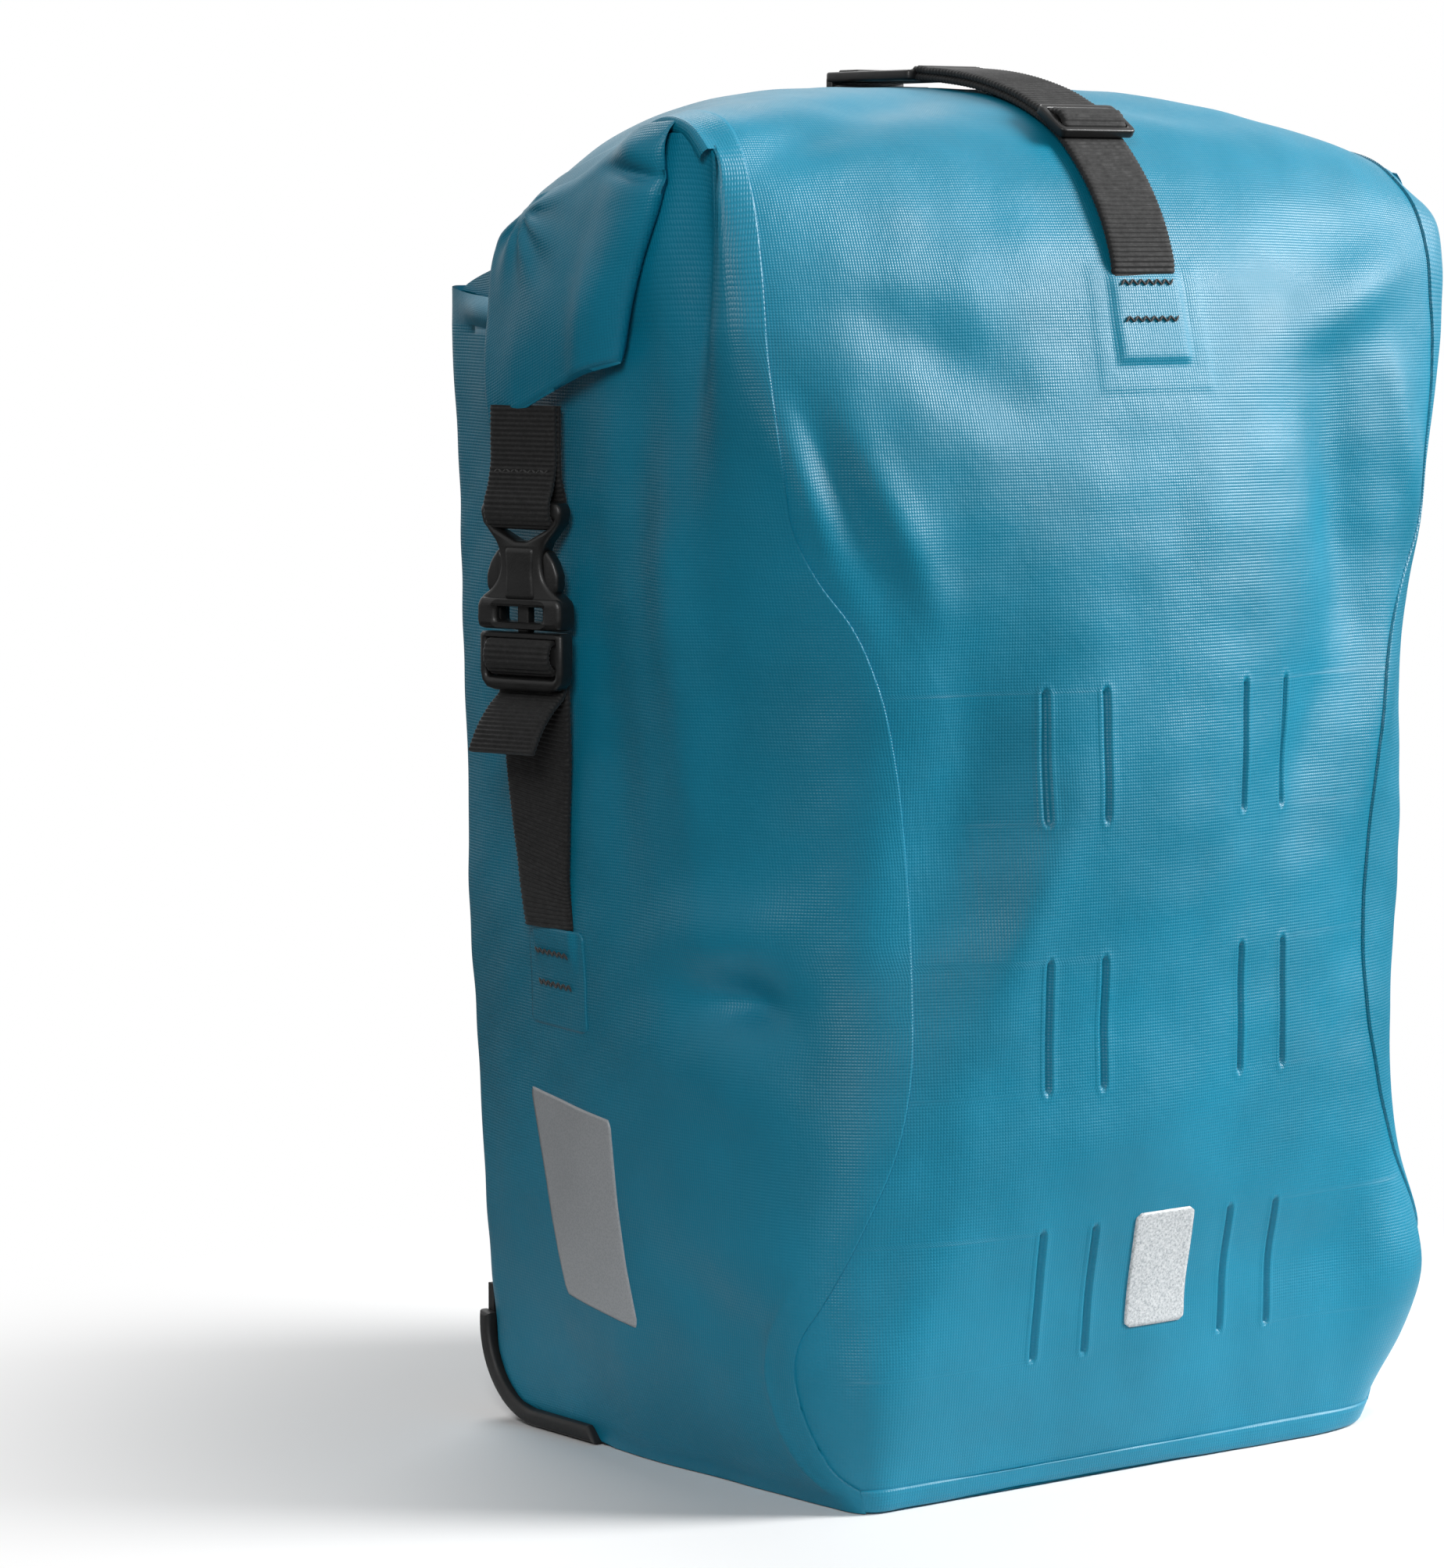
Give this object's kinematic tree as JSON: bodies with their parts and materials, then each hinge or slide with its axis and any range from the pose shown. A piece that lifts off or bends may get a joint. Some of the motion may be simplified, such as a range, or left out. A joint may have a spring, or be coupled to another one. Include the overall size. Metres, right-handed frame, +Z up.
{
  "type": "bicycle pannier bag",
  "caption": "Roll-top pannier bag with buckled ends, top strap and catch, rack hooks on a rail, swivel lower hook, reflectors and kick guard.",
  "frame": {"origin": "middle of the base, between the two lower side edges, on the ground plane the bag stands on", "axes": "+Z up; +X to the bag's right as seen from the outer face's wearer side; -Y is the outer face and +Y the side that hangs on the rack"},
  "size_m": [0.3294, 0.2539, 0.4335],
  "materials": {
    "bag_fabric": "semi-matt coated woven fabric",
    "webbing": "ribbed woven tape",
    "buckle_plastic": "fine grained",
    "guard_plastic": "grained, scuff resistant",
    "rail_plastic": "fine grained, glass filled",
    "board_plastic": "smooth sheet",
    "reflector_film": "retroreflective film",
    "thread": "matt sewing thread",
    "fastener_steel": "plain",
    "insert_rubber": "matt"
  },
  "bodies": {
    "bag": {"front_panel": "bag_fabric", "back_panel": "bag_fabric", "left_side_panel": "bag_fabric", "right_side_panel": "bag_fabric", "bottom_panel": "bag_fabric", "kick_guard": "guard_plastic", "guard_screws": "fastener_steel", "stiffener_board": "board_plastic", "mount_rail": "rail_plastic", "rail_screws": "fastener_steel", "left_hook": "buckle_plastic", "right_hook": "buckle_plastic", "left_tube_insert": "insert_rubber", "right_tube_insert": "insert_rubber", "latch_pins": "fastener_steel", "lower_rail": "rail_plastic", "lower_rail_screws": "fastener_steel", "front_reflector": "reflector_film", "strap_anchor_patch": "bag_fabric", "strap_anchor_stitching": "thread", "left_anchor_patch": "bag_fabric", "right_anchor_patch": "bag_fabric", "left_reflector": "reflector_film", "right_reflector": "reflector_film", "side_anchor_stitching": "thread", "left_lower_strap": "webbing", "right_lower_strap": "webbing"},
    "closure": {"roll_top": "bag_fabric", "rolled_layers": "bag_fabric", "stiffener_strip": "board_plastic", "left_end_flap": "bag_fabric", "right_end_flap": "bag_fabric", "left_upper_strap": "webbing", "right_upper_strap": "webbing", "left_socket": "buckle_plastic", "right_socket": "buckle_plastic", "hook_loop": "buckle_plastic"},
    "top_strap": {"top_strap": "webbing", "strap_fold": "webbing", "tri_glide": "buckle_plastic", "strap_hook": "buckle_plastic"},
    "left_plug": {"left_plug": "buckle_plastic", "left_strap_tail": "webbing"},
    "right_plug": {"right_plug": "buckle_plastic", "right_strap_tail": "webbing"},
    "left_front_prong": {"left_front_prong": "buckle_plastic"},
    "left_rear_prong": {"left_rear_prong": "buckle_plastic"},
    "right_front_prong": {"right_front_prong": "buckle_plastic"},
    "right_rear_prong": {"right_rear_prong": "buckle_plastic"},
    "handle": {"pull_handle": "webbing"},
    "left_latch": {"left_latch": "buckle_plastic"},
    "right_latch": {"right_latch": "buckle_plastic"},
    "carriage": {"lower_carriage": "buckle_plastic"},
    "lower_hook": {"lower_hook": "buckle_plastic"}
  },
  "joints": [
    {"name": "closure_lift", "type": "slide", "parent": "bag", "child": "closure", "axis": [0, 0, 1], "range_m": [0, 0.11]},
    {"name": "top_strap_flip", "type": "hinge", "parent": "bag", "child": "top_strap", "pos_m": [0, -0.092, 0.361], "axis": [1, 0, 0], "range_deg": [0, 120]},
    {"name": "left_buckle_release", "type": "slide", "parent": "bag", "child": "left_plug", "axis": [0, 0, -1], "range_m": [0, 0.03]},
    {"name": "left_front_prong_press", "type": "hinge", "parent": "left_plug", "child": "left_front_prong", "pos_m": [-0.14644, 0.01133, 0.2588], "axis": [-0.9613, -0.2756, 0], "range_deg": [0, 6], "stiffness_Nm_per_rad": 0.05},
    {"name": "left_rear_prong_press", "type": "hinge", "parent": "left_plug", "child": "left_rear_prong", "pos_m": [-0.15256, 0.03267, 0.2588], "axis": [0.9613, 0.2756, 0], "range_deg": [0, 6]},
    {"name": "right_buckle_release", "type": "slide", "parent": "bag", "child": "right_plug", "axis": [0, 0, -1], "range_m": [0, 0.03]},
    {"name": "right_front_prong_press", "type": "hinge", "parent": "right_plug", "child": "right_front_prong", "pos_m": [0.14644, 0.01133, 0.2588], "axis": [-0.9613, 0.2756, 0], "range_deg": [0, 6], "stiffness_Nm_per_rad": 0.05},
    {"name": "right_rear_prong_press", "type": "hinge", "parent": "right_plug", "child": "right_rear_prong", "pos_m": [0.15256, 0.03267, 0.2588], "axis": [0.9613, -0.2756, 0], "range_deg": [0, 6]},
    {"name": "handle_pull", "type": "slide", "parent": "bag", "child": "handle", "axis": [0, 0, 1], "range_m": [0, 0.012], "stiffness_N_per_m": 400, "springref_m": -0.002},
    {"name": "left_latch_turn", "type": "hinge", "parent": "bag", "child": "left_latch", "pos_m": [0, 0.126, 0.321], "axis": [1, 0, 0], "range_deg": [0, 56]},
    {"name": "right_latch_turn", "type": "hinge", "parent": "bag", "child": "right_latch", "pos_m": [0, 0.126, 0.321], "axis": [1, 0, 0], "range_deg": [0, 56]},
    {"name": "lower_slide", "type": "slide", "parent": "bag", "child": "carriage", "axis": [1, 0, 0], "range_m": [-0.05, 0.05]},
    {"name": "lower_hook_swivel", "type": "hinge", "parent": "carriage", "child": "lower_hook", "pos_m": [0, 0.11, 0.112], "axis": [0, 1, 0], "range_deg": [-90, 90]}
  ],
  "couplings": [
    {"joint": "top_strap_flip", "follows": "closure_lift", "rad_per_m": 19},
    {"joint": "left_rear_prong_press", "follows": "left_front_prong_press", "ratio": 1},
    {"joint": "right_rear_prong_press", "follows": "right_front_prong_press", "ratio": 1},
    {"joint": "left_latch_turn", "follows": "handle_pull", "rad_per_m": 80},
    {"joint": "right_latch_turn", "follows": "handle_pull", "rad_per_m": 80}
  ]
}
